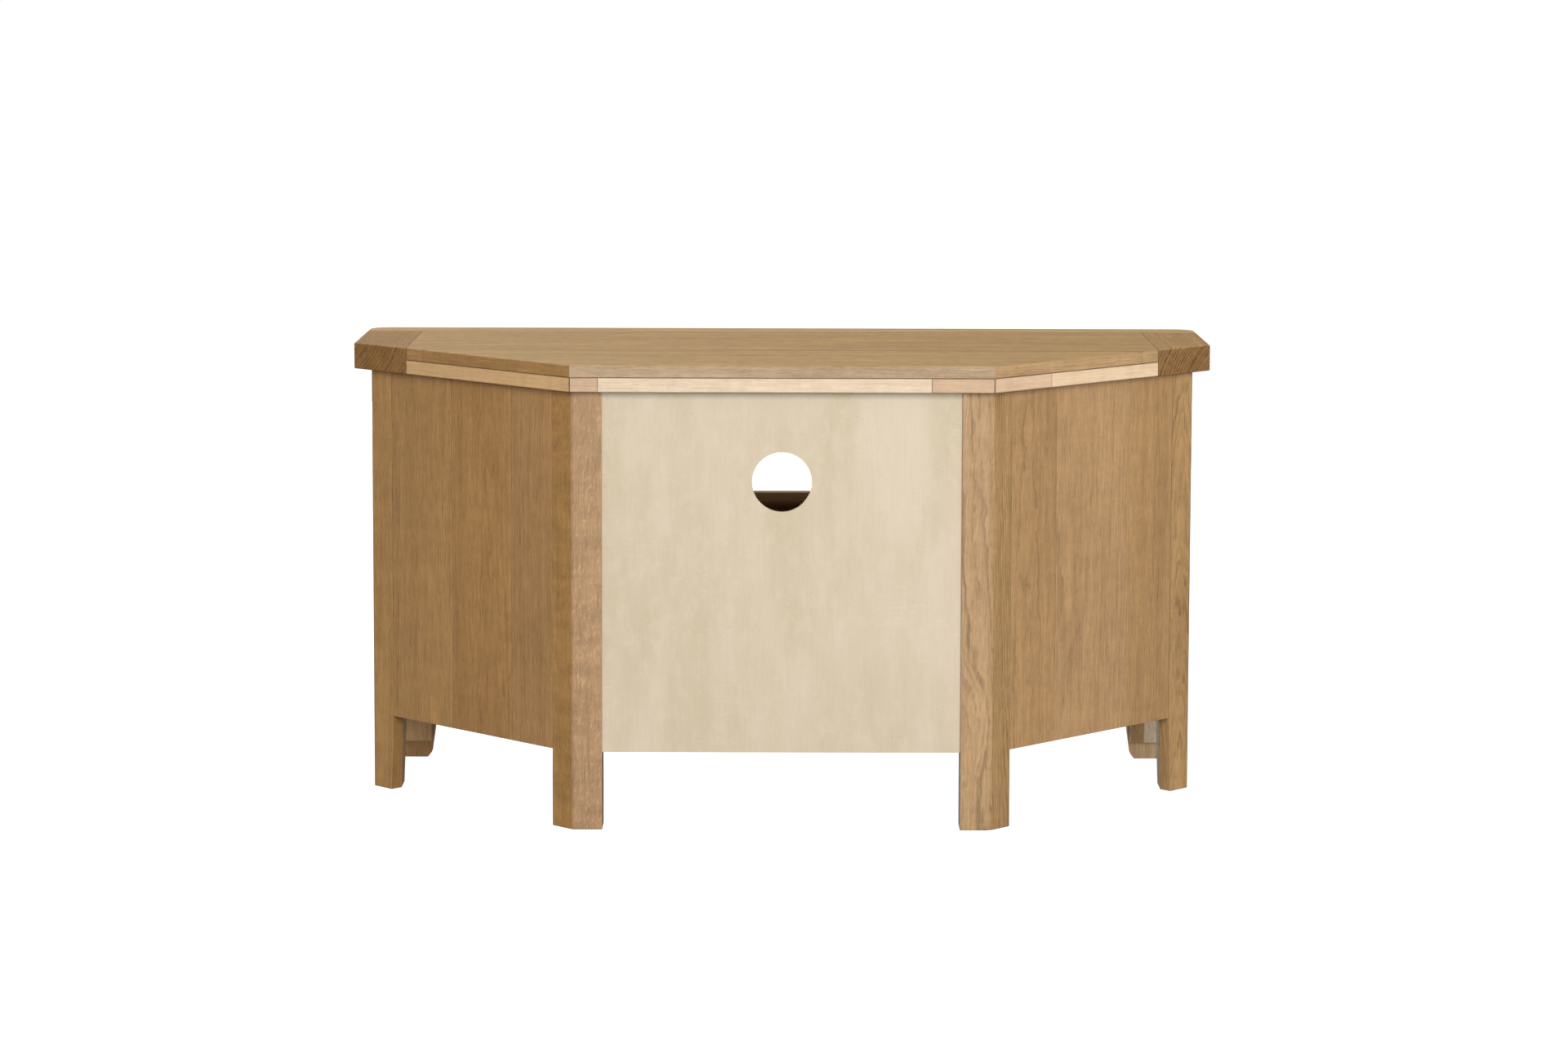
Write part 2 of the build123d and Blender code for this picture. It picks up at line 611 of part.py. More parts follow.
# ---- Assembly ----
make_top()
make_glue_blocks()
legs = {"outer": make_outer_leg(), "front": make_front_leg()}
rear_legs = {side: side_of(make_rear_leg(REAR_CORNER_BEVEL[side]), side) for side in SIDES}
rails = {
    "front_top_rail": make_rail(UNDER_TOP - RAIL_HEIGHT),
    "front_shelf_rail": make_rail(SHELF_TOP - RAIL_HEIGHT),
    "front_bottom_rail": make_rail(PANEL_BOTTOM),
}
posts = list(rear_legs.values()) + [side_of(legs["outer"], side) for side in SIDES]
pieces["shelf"] = inside_board(SHELF_LOW, SHELF_TOP, posts)
pieces["bottom_panel"] = inside_board(BOTTOM_LOW, BOTTOM_TOP, posts)
pieces["back_panel"] = make_back_panel()
pieces["rear_top_rail"] = block(
    (-REAR_LEG_INNER, REAR_LEG_INNER),
    (BACK_INNER - REAR_RAIL_THICKNESS, BACK_INNER),
    (UNDER_TOP - REAR_RAIL_HEIGHT, UNDER_TOP),
)
pieces.update(rails)

# Doors, as built on the right
door_members = make_door()
knob = make_knob()
knob_start = (DOOR_INNER + DOOR_FRAME_WIDTH / 2, CASE_FRONT, (DOOR_LOW + DOOR_HIGH) / 2)
knob_tenon = rod(knob_start, (0, 1, 0), KNOB_TENON_RADIUS, KNOB_TENON_LENGTH)
door_members["meeting_stile"] = door_members["meeting_stile"] - knob_tenon
frame_places = hinge_screw_places(True)
door_places = hinge_screw_places(False)
frame_bores = [screw_body(*place) for place in frame_places]
door_bores = [screw_body(*place) for place in door_places]
frame_leaves = [cut_all(hinge_leaf(low, True), frame_bores) for low in hinge_heights()]
door_leaves = [cut_all(hinge_leaf(low, False), door_bores) for low in hinge_heights()]
hinge_pins = [rod((HINGE_X, HINGE_Y, low), (0, 0, 1), PIN_RADIUS, HINGE_HEIGHT) for low in hinge_heights()]
door_members["outer_stile"] = cut_all(door_members["outer_stile"], door_leaves + door_bores)
strike_x = (DOOR_INNER + 4, DOOR_INNER + 4 + STRIKE_WIDTH)
strike_z = (DOOR_HIGH - 2 - STRIKE_HEIGHT, DOOR_HIGH - 2)
strike = block(strike_x, (DOOR_BACK, DOOR_BACK + STRIKE_THICKNESS), strike_z)

# Both sides of the case
dowels = make_dowels()
cleat_places = cleat_screw_places()
top_places = top_screw_places()
for side in SIDES:
    own_dowels = [dowel for dowel in dowels if dowel.center().X * SIDES[side] > 0]
    cleat_bores = [side_of(screw_body(*place), side) for place in cleat_places]
    frame_metal = [side_of(shape, side) for shape in frame_leaves + frame_bores]
    pieces[side + "_rear_leg"] = cut_all(rear_legs[side], own_dowels)
    pieces[side + "_outer_leg"] = cut_all(side_of(legs["outer"], side), own_dowels)
    pieces[side + "_front_leg"] = cut_all(side_of(legs["front"], side), list(rails.values()) + frame_metal)
    joints = (OUTER_LEG_INNER,) + STAVE_JOINTS[side] + (REAR_LEG_OUTER,)
    for number, (far, near) in enumerate(zip(joints, joints[1:]), start=1):
        stave = side_of(make_stave(near, far), side)
        pieces[f"{side}_panel_stave_{number}"] = cut_all(stave, own_dowels + cleat_bores)
    pieces[side + "_side_panel"] = cut_all(side_of(make_side_panel(), side), own_dowels + cleat_bores)
    for name, member in door_members.items():
        pieces[f"{side}_door_{name}"] = side_of(member, side)
    pieces[side + "_door_knob"] = side_of(knob, side)
    pieces[side + "_door_strike"] = side_of(strike, side)
    pieces[side + "_door_hinge_leaves"] = group(side_of(leaf, side) for leaf in door_leaves)
    own_places = door_places if side == "right" else [mirrored_place(place) for place in door_places]
    pieces[side + "_door_hinge_screws"] = group(screw(*place) for place in own_places)


def both_sides(places):
    return places + [mirrored_place(place) for place in places]


top_bores = [screw_body(*place) for place in both_sides(top_places)]
cleat_bores = [screw_body(*place) for place in both_sides(cleat_places)]
pieces["frame_hinge_leaves"] = group(side_of(leaf, side) for side in SIDES for leaf in frame_leaves)
pieces["frame_hinge_screws"] = group(screw(*place) for place in both_sides(frame_places))
pieces["hinge_pins"] = group(side_of(pin, side) for side in SIDES for pin in hinge_pins)
pieces["panel_dowels"] = group(dowels)
pieces["support_cleats"] = group(cut_all(cleat, cleat_bores) for cleat in make_support_cleats())
pieces["cleat_screws"] = group(screw(*place) for place in both_sides(cleat_places))
pieces["top_cleats"] = group(cut_all(cleat, top_bores) for cleat in make_top_cleats())
pieces["top_screws"] = group(screw(*place) for place in both_sides(top_places))
screwed_boards = [name for name in pieces if name.startswith("top_") and name.endswith("board")]
for name in screwed_boards + ["right_strip", "left_strip_rear", "left_strip_front"]:
    pieces[name] = cut_all(pieces[name], top_bores)
catch_x = (-CATCH_WIDTH / 2, CATCH_WIDTH / 2)
catch_z = (SHELF_LOW - CATCH_HEIGHT, SHELF_LOW)
pieces["magnetic_catch"] = block(catch_x, (FRAME_BACK, FRAME_BACK + CATCH_DEPTH), catch_z)

os.makedirs("parts", exist_ok=True)
for name, shape in pieces.items():
    export_step(shape, f"parts/{name}.step")
print(len(pieces), "pieces written")
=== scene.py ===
import math

import bmesh
import bpy
from mathutils import Euler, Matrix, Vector

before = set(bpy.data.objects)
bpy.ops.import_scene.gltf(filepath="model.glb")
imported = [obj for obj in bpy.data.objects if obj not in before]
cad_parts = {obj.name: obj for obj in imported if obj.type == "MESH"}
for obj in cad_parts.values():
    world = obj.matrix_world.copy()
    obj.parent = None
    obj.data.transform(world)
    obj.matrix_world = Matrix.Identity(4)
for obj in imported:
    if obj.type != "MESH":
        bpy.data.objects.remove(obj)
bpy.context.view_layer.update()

# ---- Camera: behind the cabinet on a long lens, tilted down a little ----
# A small shift of the lens frames the cabinet and keeps its upright edges nearly upright.
camera_data = bpy.data.cameras.new("camera")
camera_data.sensor_width = 36.0
camera_data.lens = 94.159
camera_data.shift_y = -0.08
camera_data.clip_start = 0.1
camera_data.clip_end = 400.0
camera = bpy.data.objects.new("camera", camera_data)
camera.location = (0.0023, 4.9798, 1.0106)
camera.rotation_euler = [math.radians(angle) for angle in (83.9998, -0.1609, 179.9634)]
bpy.context.scene.collection.objects.link(camera)
bpy.context.scene.camera = camera

# ---- Rear legs: two five-sided solid oak posts, pinkish, with a worn corner between their faces ----
# Each is planed from one square length with the grain upright, oiled and rubbed to a satin.


def feed(tree, socket, value):
    """Give an input a number or colour, or join it to another node's output."""
    if isinstance(value, bpy.types.NodeSocket):
        tree.links.new(value, socket)
    elif value is not None:
        socket.default_value = value


def node(tree, kind, feeds=(), **settings):
    """A new node with its settings, and its first inputs fed in order."""
    made = tree.nodes.new(kind)
    for key, value in settings.items():
        setattr(made, key, value)
    for socket, value in zip(made.inputs, feeds):
        feed(tree, socket, value)
    return made


def maths(tree, operation, *feeds, clamp=False):
    return node(tree, "ShaderNodeMath", feeds, operation=operation, use_clamp=clamp).outputs[0]


def across(tree, operation, *feeds):
    """A Vector Math node's vector."""
    return node(tree, "ShaderNodeVectorMath", feeds, operation=operation).outputs[0]


def measure(tree, operation, *feeds):
    """A Vector Math node's number."""
    return node(tree, "ShaderNodeVectorMath", feeds, operation=operation).outputs["Value"]


def noise(tree, vector, scale, detail=2.0, rough=0.5, **settings):
    made = node(tree, "ShaderNodeTexNoise", (), **settings)
    start = "W" if made.noise_dimensions == "1D" else "Vector"
    for key, value in ((start, vector), ("Scale", scale), ("Detail", detail), ("Roughness", rough)):
        feed(tree, made.inputs[key], value)
    return made


def step(tree, value, low, high, to_low=0.0, to_high=1.0):
    """A smooth step from one value to another between low and high."""
    made = node(tree, "ShaderNodeMapRange", (value, low, high, to_low, to_high))
    made.interpolation_type = "SMOOTHSTEP"
    return made.outputs[0]


def tint(tree, factor, first, second, how="MIX"):
    """A colour Mix node."""
    made = node(tree, "ShaderNodeMix", (), data_type="RGBA", blend_type=how)
    for index, value in ((0, factor), (6, first), (7, second)):
        feed(tree, made.inputs[index], value)
    return made.outputs[2]


def new_group(name, inputs, outputs):
    """An empty shader node group with named inputs (name, kind, default) and outputs (name, kind)."""
    group = bpy.data.node_groups.new(name, "ShaderNodeTree")
    for label, kind, default in inputs:
        socket = group.interface.new_socket(label, in_out="INPUT", socket_type="NodeSocket" + kind)
        socket.default_value = default
    for label, kind in outputs:
        group.interface.new_socket(label, in_out="OUTPUT", socket_type="NodeSocket" + kind)
    return group, group.nodes.new("NodeGroupInput"), group.nodes.new("NodeGroupOutput")


def build_timber():
    """Solid timber: yearly rings round a pith along Z, streaks, fine grain, pores, rays and end grain."""
    group, given, made = new_group(
        "timber_figure",
        [
            ("Vector", "Vector", (0, 0, 0)),
            ("Normal", "Vector", (0, 0, 1)),
            ("Pale Wood", "Color", (0.5, 0.34, 0.2, 1)),
            ("Dark Wood", "Color", (0.32, 0.19, 0.1, 1)),
            ("Ring Width", "Float", 0.0026),
            ("Wander", "Float", 0.008),
            ("Rings", "Float", 0.4),
            ("Streaks", "Float", 0.22),
            ("Fibres", "Float", 1.0),
            ("Clouds", "Float", 0.7),
            ("Curl", "Float", 0.04),
            ("Pores", "Float", 0.6),
            ("Rays", "Float", 0.4),
            ("End Grain", "Float", 0.6),
        ],
        [("Colour", "Color"), ("Roughness", "Float"), ("Height", "Float")],
    )
    place = given.outputs["Vector"]
    slow = noise(group, across(group, "MULTIPLY", place, (1, 1, 0.22)), 14.0, 4.0, 0.6)
    drift = across(group, "SUBTRACT", slow.outputs["Color"], (0.5, 0.5, 0.5))
    reach = node(group, "ShaderNodeVectorMath", (drift,), operation="SCALE")
    feed(group, reach.inputs["Scale"], given.outputs["Wander"])
    waved = across(group, "ADD", place, reach.outputs[0])
    wiggle = noise(group, across(group, "MULTIPLY", place, (1, 1, 0.4)), 75.0, 2.0, 0.6)
    wiggle = across(group, "SUBTRACT", wiggle.outputs["Color"], (0.5, 0.5, 0.5))
    waved = across(group, "ADD", waved, across(group, "MULTIPLY", wiggle, (0.003, 0.003, 0.0)))
    apart = node(group, "ShaderNodeSeparateXYZ", (waved,))
    square = maths(group, "ADD", maths(group, "POWER", apart.outputs[0], 2.0),
                   maths(group, "POWER", apart.outputs[1], 2.0))
    radius = maths(group, "SQRT", square)

    # Each year is dark and porous in spring and pale in summer, and no two years are as wide or as dark.
    years = maths(group, "DIVIDE", radius, given.outputs["Ring Width"])
    uneven = noise(group, years, 0.31, 1.0, noise_dimensions="1D")
    count = maths(group, "MULTIPLY_ADD", uneven.outputs[0], 2.6, years)
    part = maths(group, "FRACT", count)
    spring = step(group, part, 0.06, 0.62, 1.0, 0.0)
    onset = step(group, part, 0.9, 1.0, 0.0, 1.0)
    year = node(group, "ShaderNodeTexWhiteNoise", (), noise_dimensions="1D")
    feed(group, year.inputs["W"], maths(group, "FLOOR", maths(group, "ADD", count, 0.1)))
    ring = maths(group, "MULTIPLY", maths(group, "MAXIMUM", spring, onset),
                 maths(group, "MULTIPLY_ADD", year.outputs["Value"], 0.8, 0.35))
    broken = noise(group, across(group, "MULTIPLY", waved, (1, 1, 0.1)), 150.0, 2.0, 0.6)
    ring = maths(group, "MULTIPLY", ring, step(group, broken.outputs[0], 0.32, 0.62, 0.25, 1.0))

    streak = noise(group, across(group, "MULTIPLY", waved, (1, 1, 0.035)), 95.0, 3.0, 0.6)
    streaks = maths(group, "MULTIPLY_ADD", step(group, streak.outputs[0], 0.3, 0.72), 1.0, -0.5)
    broad = noise(group, across(group, "MULTIPLY", place, (1, 1, 0.3)), 9.0, 2.0)
    shade = maths(group, "MULTIPLY_ADD", ring, given.outputs["Rings"], 0.32)
    shade = maths(group, "MULTIPLY_ADD", streaks, given.outputs["Streaks"], shade)
    clouds = maths(group, "SUBTRACT", broad.outputs[0], 0.5)
    clouds = maths(group, "MULTIPLY", clouds, given.outputs["Clouds"])
    band = noise(group, across(group, "MULTIPLY", place, (1, 1, 0.16)), 42.0, 2.0, 0.55)
    clouds = maths(group, "MULTIPLY_ADD", maths(group, "SUBTRACT", band.outputs[0], 0.5), 0.45, clouds)
    shade = maths(group, "ADD", shade, clouds, clamp=True)
    colour = tint(group, shade, given.outputs["Pale Wood"], given.outputs["Dark Wood"])

    # Fine grain is the run of the fibres, and pores are short dark dashes along it.
    fibre = noise(group, across(group, "MULTIPLY", waved, (1, 1, 0.045)), 620.0, 3.0, 0.75)
    grain = step(group, fibre.outputs[0], 0.3, 0.72, -0.15, 0.15)
    grain = maths(group, "MULTIPLY", grain, given.outputs["Fibres"])
    curl = noise(group, across(group, "MULTIPLY", place, (0.45, 0.45, 1)), 62.0, 4.0, 0.65)
    curl = step(group, curl.outputs[0], 0.35, 0.65, -1.0, 1.0)
    curl = maths(group, "MULTIPLY", curl, given.outputs["Curl"])
    grain = maths(group, "ADD", grain, curl)
    vessel = noise(group, across(group, "MULTIPLY", waved, (1, 1, 0.11)), 900.0, 1.0, 0.4)
    vessels = maths(group, "MULTIPLY", step(group, vessel.outputs[0], 0.56, 0.68), given.outputs["Pores"])
    vessels = maths(group, "MULTIPLY", vessels, maths(group, "MULTIPLY_ADD", ring, 0.6, 0.4))

    # Rays run out from the pith: pale flecks on a quartered face and short dark lines on a flat-sawn one.
    spoke = node(group, "ShaderNodeCombineXYZ", (
        maths(group, "MULTIPLY", maths(group, "ARCTAN2", apart.outputs[1], apart.outputs[0]), 150.0),
        maths(group, "MULTIPLY_ADD", radius, 330.0, maths(group, "MULTIPLY", apart.outputs[2], 130.0)),
        maths(group, "MULTIPLY_ADD", radius, -70.0, maths(group, "MULTIPLY", apart.outputs[2], 90.0)),
    ))
    ray = noise(group, spoke.outputs[0], 1.0, 1.0, 0.5)
    rays = maths(group, "MULTIPLY", step(group, ray.outputs[0], 0.58, 0.68), given.outputs["Rays"])
    outward = across(group, "NORMALIZE", across(group, "MULTIPLY", waved, (1, 1, 0)))
    flat_sawn = maths(group, "ABSOLUTE", measure(group, "DOT_PRODUCT", outward, given.outputs["Normal"]))
    rays = maths(group, "MULTIPLY", rays, step(group, flat_sawn, 0.2, 0.8, 0.2, -0.2))

    # End grain drinks the oil, so it is darker, and its rings show more.
    facing = node(group, "ShaderNodeSeparateXYZ", (given.outputs["Normal"],))
    cut = step(group, maths(group, "ABSOLUTE", facing.outputs[2]), 0.35, 0.75)
    cut = maths(group, "MULTIPLY", cut, given.outputs["End Grain"])

    dim = maths(group, "MULTIPLY_ADD", vessels, -0.30, maths(group, "ADD", grain, 1.0))
    dim = maths(group, "ADD", rays, dim)
    dim = maths(group, "MULTIPLY", dim, maths(group, "MULTIPLY_ADD", cut, -0.45, 1.0))
    cut_rings = maths(group, "MULTIPLY", cut, ring)
    dim = maths(group, "MULTIPLY", dim, maths(group, "MULTIPLY_ADD", cut_rings, -0.6, 1.0))
    strength = node(group, "ShaderNodeCombineXYZ", (dim, dim, dim))
    feed(group, made.inputs["Colour"], tint(group, 1.0, colour, strength.outputs[0], "MULTIPLY"))

    sheen = maths(group, "MULTIPLY_ADD", vessels, 0.2, 0.46)
    sheen = maths(group, "MULTIPLY_ADD", streak.outputs[0], 0.1, sheen)
    feed(group, made.inputs["Roughness"], maths(group, "MULTIPLY_ADD", cut, 0.2, sheen))
    relief = maths(group, "MULTIPLY_ADD", vessels, -0.9, maths(group, "MULTIPLY", fibre.outputs[0], 0.5))
    feed(group, made.inputs["Height"], maths(group, "MULTIPLY_ADD", ring, -0.25, relief))
    return group


TOP_UNDERSIDE = 0.518
SHADE_DEPTH = 0.002


def build_edges():
    """Soft edges, painted paler as partly wear and partly a painted highlight, and painted shade in joints,
    crevices and the corner under the top.
    """
    group, given, made = new_group(
        "edge_highlight_and_shade",
        [("Colour", "Color", (0.5, 0.5, 0.5, 1)), ("Radius", "Float", 0.0012),
         ("Wear And Highlight", "Float", 0.35), ("Joint Shade", "Float", 0.6)],
        [("Colour", "Color"), ("Normal", "Vector")],
    )
    round_off = node(group, "ShaderNodeBevel", (), samples=4)
    feed(group, round_off.inputs["Radius"], given.outputs["Radius"])
    here = node(group, "ShaderNodeNewGeometry")
    turned = measure(group, "DOT_PRODUCT", round_off.outputs[0], here.outputs["Normal"])
    edge = step(group, turned, 0.99, 0.8)
    place = node(group, "ShaderNodeTexCoord").outputs["Object"]
    patchy = step(group, noise(group, place, 60.0, 3.0).outputs[0], 0.35, 0.65)
    # Edges are painted paler in patches: partly wear, partly a painted highlight along the arrises.
    wear_and_highlight = maths(group, "MULTIPLY", edge, maths(group, "MULTIPLY_ADD", patchy, 0.6, 0.4))
    wear_and_highlight = maths(group, "MULTIPLY", wear_and_highlight, given.outputs["Wear And Highlight"])
    wear_and_highlight_colour = tint(group, wear_and_highlight, given.outputs["Colour"], (0.72, 0.52, 0.32, 1))
    # Painted shade: occlusion darkens joints and crevices, and a thin band darkens the case just under the
    # top's overhang, both in a near-black brown.
    crevice_occlusion = node(group, "ShaderNodeAmbientOcclusion", (), samples=6)
    feed(group, crevice_occlusion.inputs["Distance"], 0.002)
    painted_shade = step(group, crevice_occlusion.outputs["AO"], 0.85, 0.25)
    height = node(group, "ShaderNodeSeparateXYZ", (place,)).outputs[2]
    under_top_shade = step(group, height, TOP_UNDERSIDE - SHADE_DEPTH, TOP_UNDERSIDE - SHADE_DEPTH / 2)
    below = maths(group, "LESS_THAN", height, TOP_UNDERSIDE + 0.0001)
    painted_shade = maths(group, "MAXIMUM", painted_shade, maths(group, "MULTIPLY", under_top_shade, below))
    painted_shade = maths(group, "MULTIPLY", painted_shade, given.outputs["Joint Shade"])
    feed(group, made.inputs["Colour"], tint(group, painted_shade, wear_and_highlight_colour, (0.035, 0.018, 0.008, 1)))
    feed(group, made.inputs["Normal"], round_off.outputs[0])
    return group


timber_figure = build_timber()
edge_highlight_and_shade = build_edges()


def give(piece, material):
    """Assign a material to every slot of a node."""
    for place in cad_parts[piece].material_slots:
        place.material = material


def blank_material(name):
    """A material with only a Principled shader and its output."""
    material = bpy.data.materials.new(name)
    material.use_nodes = True
    tree = material.node_tree
    tree.nodes.clear()
    shader = node(tree, "ShaderNodeBsdfPrincipled")
    finish = node(tree, "ShaderNodeOutputMaterial")
    tree.links.new(shader.outputs[0], finish.inputs[0])
    return material, tree, shader


TONE = 1.22
FOOT = 0.092


def pale_and_dark(colour, depth):
    """The colours of summer and spring wood, from a board's own colour and how deep its figure is."""
    pale = [TONE * part for part in colour] + [1]
    dark = [TONE * depth * part ** 1.08 for part in colour] + [1]
    return pale, dark


def oak(name, colour, pith, seed, grain=(0, 0, 1), lean=(0, 0), depth=0.6, faces=(),
        edges=(0.0012, 0.35, 0.75), gloss=0.25, seams=(), knots=(), **figure):
    """Oiled solid oak. The pith is a point on the tree's centre line, which runs along the grain, and the
    seed says how far up the tree the piece comes from. Faces give a direction and another colour, and the
    way the lines run there where that differs, for a piece whose sides are not alike. Seams are glue lines:
    an axis, a place on it, a width and a strength. Knots push the rings aside: a centre, a reach, how far
    they push and how dark the heart is."""
    material, tree, shader = blank_material("oak_" + name)
    lean = Euler((math.radians(lean[0]), math.radians(lean[1]), 0)).to_quaternion()
    turn = (Vector(grain).to_track_quat("Z", "Y") @ lean).to_euler()
    where = node(tree, "ShaderNodeTexCoord")
    place = node(tree, "ShaderNodeMapping", (where.outputs["Object"], pith, turn), vector_type="TEXTURE")
    facing = node(tree, "ShaderNodeMapping", (where.outputs["Normal"], (0, 0, 0), turn),
                  vector_type="TEXTURE")
    wood = node(tree, "ShaderNodeGroup", (), node_tree=timber_figure)
    path = place.outputs[0]
    pale, dark = pale_and_dark(colour, depth)
    for towards, other, *way in faces:
        facing_it = measure(tree, "DOT_PRODUCT", where.outputs["Normal"], Vector(towards).normalized())
        shown = step(tree, facing_it, 0.8, 0.95)
        other_pale, other_dark = pale_and_dark(other, depth)
        pale = tint(tree, shown, pale, other_pale)
        dark = tint(tree, shown, dark, other_dark)
        if way:
            slant = Vector(way[0]).to_track_quat("Z", "Y").to_euler()
            slanted = node(tree, "ShaderNodeMapping", (where.outputs["Object"], pith, slant),
                           vector_type="TEXTURE")
            both = node(tree, "ShaderNodeMix", (shown,), data_type="VECTOR")
            feed(tree, both.inputs[4], path)
            feed(tree, both.inputs[5], slanted.outputs[0])
            path = both.outputs[1]
    heart = None
    for centre, reach, push, dark_heart in knots:
        offset = across(tree, "SUBTRACT", where.outputs["Object"], centre)
        distance = measure(tree, "LENGTH", across(tree, "MULTIPLY", offset, (1, 1, 0.6)))
        spread = maths(tree, "MULTIPLY_ADD", step(tree, distance, reach, 0.0), push, 1.0)
        sideways = node(tree, "ShaderNodeCombineXYZ", (spread, spread, 1.0)).outputs[0]
        path = across(tree, "MULTIPLY", path, sideways)
        spot = maths(tree, "MULTIPLY", step(tree, distance, 0.3 * reach, 0.05 * reach), dark_heart)
        heart = spot if heart is None else maths(tree, "MAXIMUM", heart, spot)
    feed(tree, wood.inputs["Vector"], across(tree, "ADD", path, (0, 0, seed)))
    feed(tree, wood.inputs["Normal"], facing.outputs[0])
    feed(tree, wood.inputs["Pale Wood"], pale)
    feed(tree, wood.inputs["Dark Wood"], dark)
    for label, value in figure.items():
        feed(tree, wood.inputs[label.replace("_", " ").title()], value)
    shown_colour = wood.outputs["Colour"]
    if heart is not None:
        shown_colour = tint(tree, heart, shown_colour, (0.09, 0.04, 0.015, 1))
    for axis, at, width, strength in seams:
        parted = node(tree, "ShaderNodeSeparateXYZ", (where.outputs["Object"],))
        gap = maths(tree, "ABSOLUTE", maths(tree, "SUBTRACT", parted.outputs[axis], at))
        line = maths(tree, "MULTIPLY", step(tree, gap, width, width * 0.3), strength)
        if axis == 1:  # a joint between the top's boards shows from above only
            upward = node(tree, "ShaderNodeSeparateXYZ", (where.outputs["Normal"],)).outputs[2]
            line = maths(tree, "MULTIPLY", line, step(tree, upward, 0.5, 0.9))
        if axis == 0:  # a leg's joint with its panel ends above the foot
            line = maths(tree, "MULTIPLY", line, maths(tree, "GREATER_THAN", parted.outputs[2], FOOT))
        shown_colour = tint(tree, line, shown_colour, (0.06, 0.03, 0.012, 1))
    edge = node(tree, "ShaderNodeGroup", (shown_colour, *edges), node_tree=edge_highlight_and_shade)
    relief = node(tree, "ShaderNodeBump")
    relief.inputs["Strength"].default_value = 0.5
    relief.inputs["Distance"].default_value = 0.0004
    feed(tree, relief.inputs["Height"], wood.outputs["Height"])
    feed(tree, relief.inputs["Normal"], edge.outputs["Normal"])
    feed(tree, shader.inputs["Base Color"], edge.outputs["Colour"])
    feed(tree, shader.inputs["Roughness"], wood.outputs["Roughness"])
    feed(tree, shader.inputs["Normal"], relief.outputs[0])
    shader.inputs["Specular IOR Level"].default_value = gloss
    return material


give("right_rear_leg", oak(
    "right_rear_leg", (0.325, 0.175, 0.057), (0.08, 0.25, 0.3), 0.4, lean=(0.8, -0.5),
    faces=(((0, 1, 0), (0.295, 0.180, 0.092)),), ring_width=0.0022, wander=0.022, rings=0.2, rays=1.2,
    pores=0.3, clouds=1.0, curl=0.09,
    knots=(((0.258, 0.2368, 0.487), 0.045, 0.12, 0.0), ((0.254, 0.2368, 0.078), 0.022, 0.12, 0.35))))
give("left_rear_leg", oak(
    "left_rear_leg", (0.345, 0.208, 0.088), (-0.25, 0.135, 0.3), 2.1, lean=(1.4, 2.0),
    faces=(((0, 1, 0), (0.342, 0.216, 0.107)),), ring_width=0.0030, wander=0.016, rings=0.6, rays=0.5,
    knots=(((-0.222, 0.2368, 0.12), 0.05, 0.05, 0.0),)))

# ---- Side and front legs: solid oak, tapered at the foot ----
# The side legs stand flush with the angled panels. The front legs are flat, with glue blocks behind.
# Painted shade: the right side leg is a little darker and warmer than the left one, and its inner face is
# painted darker still.
give("right_outer_leg", oak(
    "right_outer_leg", (0.352, 0.196, 0.071), (0.62, 0.10, 0.3), 1.2, lean=(0.6, 0.4),
    faces=(((-1, 1, 0), (0.23, 0.125, 0.042)),)))
give("left_outer_leg", oak(
    "left_outer_leg", (0.383, 0.229, 0.098), (-0.452, -0.046, 0.3), 3.3, lean=(-2.2, -2.2), ring_width=0.0022,
    wander=0.014, rings=0.65, seams=((0, -0.4761, 0.0009, 0.6),)))
# Painted light: the front legs' back faces are painted paler than their fronts, and the left leg's back and
# inner faces far paler, for light under the cabinet.
give("right_front_leg", oak(
    "right_front_leg", (0.37, 0.205, 0.080), (0.47, -0.31, 0.3), 4.2, lean=(0.7, 0.4),
    faces=(((0, 1, 0), (0.44, 0.24, 0.095)),)))
give("left_front_leg", oak(
    "left_front_leg", (0.37, 0.205, 0.085), (-0.46, -0.30, 0.3), 5.6, lean=(0.5, -0.7),
    faces=(((0, 1, 0), (0.73, 0.50, 0.27)), ((1, 0, 0), (0.68, 0.46, 0.25)))))
# The glue blocks are painted pale: partly their own tone, partly painted light where they stand in the shade
# under the cabinet.
give("front_glue_blocks", oak(
    "front_glue_blocks", (0.50, 0.31, 0.145), (0.30, -0.10, 0.3), 6.3))
give("pale_glue_block", oak(
    "pale_glue_block", (0.74, 0.58, 0.40), (-0.30, -0.12, 0.3), 7.1, depth=0.85))

# ---- Angled and side panels: upright oak staves glued edge to edge, flush with the legs ----
# Each stave comes from another board, so its rings lie at another angle and its colour differs a little.
# Stave to stave the colour differs at random; the right staves are also a little deeper and warmer as painted
# shade, and the left ones paler as painted light.
for stave, colour, pith, seed, lean, rings in (
    ("right_panel_stave_1", (0.355, 0.198, 0.073), (0.40, 0.22, 0.3), 8.2, (0.5, 0.3), 0.35),
    ("right_panel_stave_2", (0.337, 0.181, 0.064), (0.27, 0.06, 0.3), 9.7, (-0.6, 0.4), 0.3),
    ("right_panel_stave_3", (0.331, 0.184, 0.072), (0.33, 0.31, 0.3), 11.1, (0.3, -0.5), 0.35),
    ("left_panel_stave_1", (0.350, 0.206, 0.089), (-0.36, -0.02, 0.3), 12.4, (-0.4, 0.6), 0.35),
    ("left_panel_stave_2", (0.371, 0.225, 0.106), (-0.23, 0.02, 0.3), 13.5, (0.5, 0.3), 0.25),
    ("left_panel_stave_3", (0.345, 0.204, 0.091), (-0.38, 0.28, 0.3), 14.9, (0.2, 0.4), 0.35),
):
    give(stave, oak(stave, colour, pith, seed, lean=lean, rings=rings))
give("right_side_panel", oak(
    "right_side_panel", (0.35, 0.195, 0.070), (0.40, -0.16, 0.3), 16.1))
